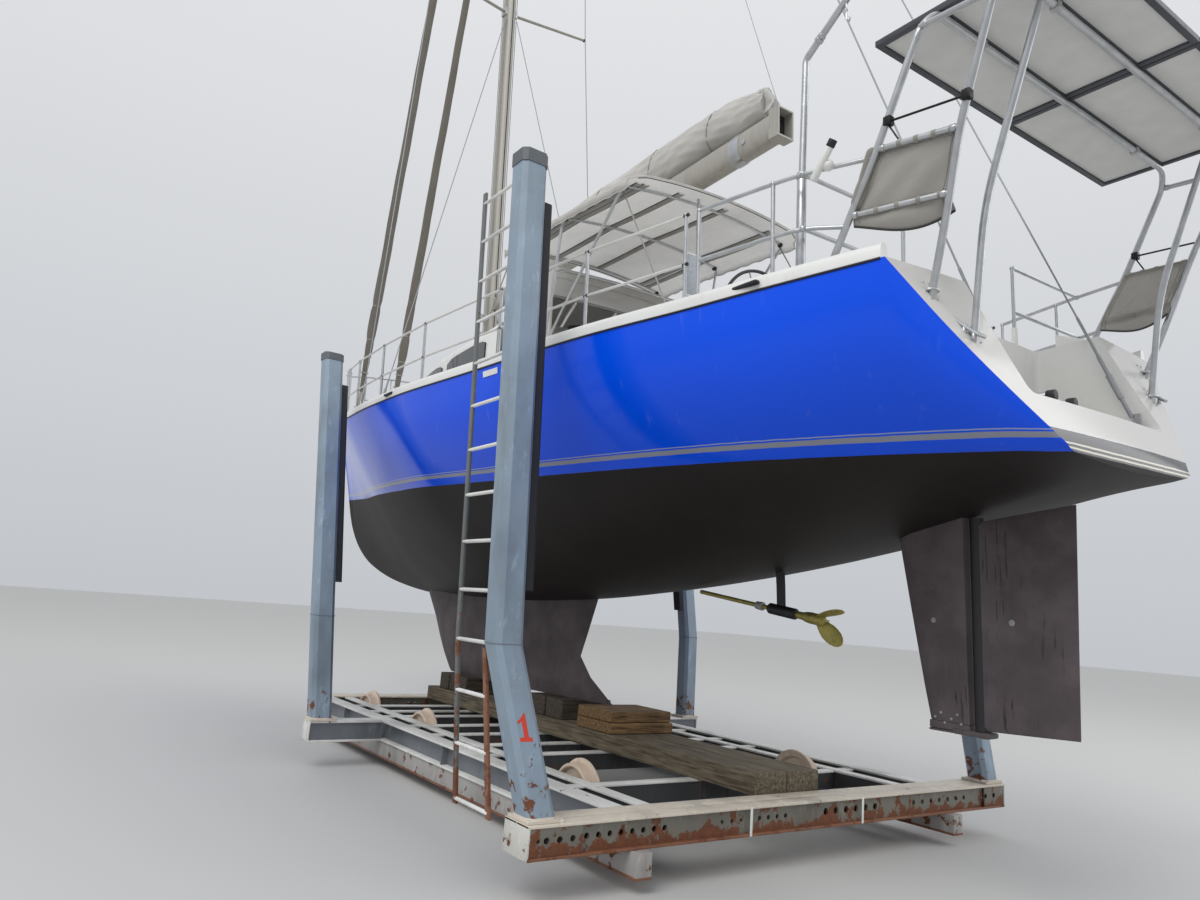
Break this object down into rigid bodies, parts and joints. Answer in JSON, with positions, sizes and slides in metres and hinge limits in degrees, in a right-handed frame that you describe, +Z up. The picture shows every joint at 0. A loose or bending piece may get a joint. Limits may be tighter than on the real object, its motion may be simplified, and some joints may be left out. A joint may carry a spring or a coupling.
{
  "type": "sailing yacht on slipway cradle",
  "caption": "Sailing yacht with a keel, a rudder on a skeg and a tall mast, standing on a wheeled steel slipway cradle with side posts.",
  "frame": {"origin": "middle of the bounding box on the ground under the cradle wheels", "axes": "+X towards the bow, +Y to port, +Z up along the mast, which leans a little to port"},
  "size_m": [13.92, 5.11, 20.623],
  "materials": {
    "hull_paint": "gloss blue topsides, dark bottom paint, white stern",
    "antifoul": "matte bottom paint, worn",
    "deck_paint": "white, non-slip in places",
    "alloy": "weathered anodised",
    "stainless": "polished stainless tube",
    "bronze": "weathered yellow bronze",
    "canvas": "light grey woven canvas",
    "sail_cover": "grey brown sacrificial cloth",
    "dark_panel": "dark smooth panel",
    "black": "satin black",
    "cradle_paint": "blue grey, chipped, rust at feet",
    "worn_steel": "worn grey over rust",
    "wheel_iron": "pale red brown",
    "pad_rubber": "matte black",
    "timber": "grey weathered",
    "timber_block": "orange brown, rough sawn"
  },
  "bodies": {
    "yacht_on_cradle": {"hull": "hull_paint", "keel": "antifoul", "skeg": "antifoul", "rudder_heel_fitting": "bronze", "shaft_bracket": "antifoul", "toe_rail": "alloy", "coachroof": "deck_paint", "coaming_port": "deck_paint", "coaming_starboard": "deck_paint", "mast": "alloy", "furled_genoa": "sail_cover", "furled_staysail": "sail_cover", "shrouds_port": "stainless", "shrouds_starboard": "stainless", "backstay": "stainless", "guard_rail_port": "stainless", "guard_rail_starboard": "stainless", "pushpit_port": "stainless", "pushpit_starboard": "stainless", "pulpit": "stainless", "bimini_canopy": "canvas", "bimini_frame": "stainless", "spray_hood": "canvas", "stern_arch": "stainless", "solar_panel": "dark_panel", "lifting_crane": "stainless", "steering": "stainless", "winch_port": "black", "winch_starboard": "black", "fore_hatch": "dark_panel", "bow_roller": "stainless", "aft_beam": "worn_steel", "fore_beam": "cradle_paint", "sill_port": "cradle_paint", "sill_starboard": "cradle_paint", "frame_grid": "worn_steel", "runner_port": "worn_steel", "runner_starboard": "worn_steel", "post_port_aft": "cradle_paint", "post_port_fore": "cradle_paint", "post_starboard_aft": "cradle_paint", "post_starboard_fore": "cradle_paint", "pad_port_aft": "pad_rubber", "pad_port_fore": "pad_rubber", "pad_starboard_aft": "pad_rubber", "pad_starboard_fore": "pad_rubber", "ladder": "worn_steel", "keel_timber_port": "timber", "keel_timber_starboard": "timber", "keel_block_aft": "timber_block", "keel_block_middle": "timber_block", "keel_block_fore": "timber_block"},
    "rudder": {"rudder": "antifoul"},
    "propeller": {"propeller": "bronze"},
    "boom": {"boom": "alloy", "mainsail_cover": "canvas"},
    "wheelset_1": {"wheelset_1": "wheel_iron"},
    "wheelset_2": {"wheelset_2": "wheel_iron"},
    "wheelset_3": {"wheelset_3": "wheel_iron"}
  },
  "joints": [
    {"name": "rudder_turn", "type": "hinge", "parent": "yacht_on_cradle", "child": "rudder", "pos_m": [-5.595, 0.01548, 1.09966], "axis": [0, 0.0436, 0.999], "range_deg": [-35, 35]},
    {"name": "propeller_spin", "type": "hinge", "parent": "yacht_on_cradle", "child": "propeller", "pos_m": [-4.26, 0.0404, 1.67042], "axis": [0.9912, 0.0058, 0.132], "continuous": true},
    {"name": "boom_swing", "type": "hinge", "parent": "yacht_on_cradle", "child": "boom", "pos_m": [0.96, 0.20305, 5.39557], "axis": [0, 0.0436, 0.999], "range_deg": [-70, 70]},
    {"name": "wheelset_1_roll", "type": "hinge", "parent": "yacht_on_cradle", "child": "wheelset_1", "pos_m": [-3.098, 0, 0.26], "axis": [0, 1, 0], "continuous": true},
    {"name": "wheelset_2_roll", "type": "hinge", "parent": "yacht_on_cradle", "child": "wheelset_2", "pos_m": [-0.338, 0, 0.26], "axis": [0, 1, 0], "continuous": true},
    {"name": "wheelset_3_roll", "type": "hinge", "parent": "yacht_on_cradle", "child": "wheelset_3", "pos_m": [1.14, 0, 0.26], "axis": [0, 1, 0], "continuous": true}
  ]
}
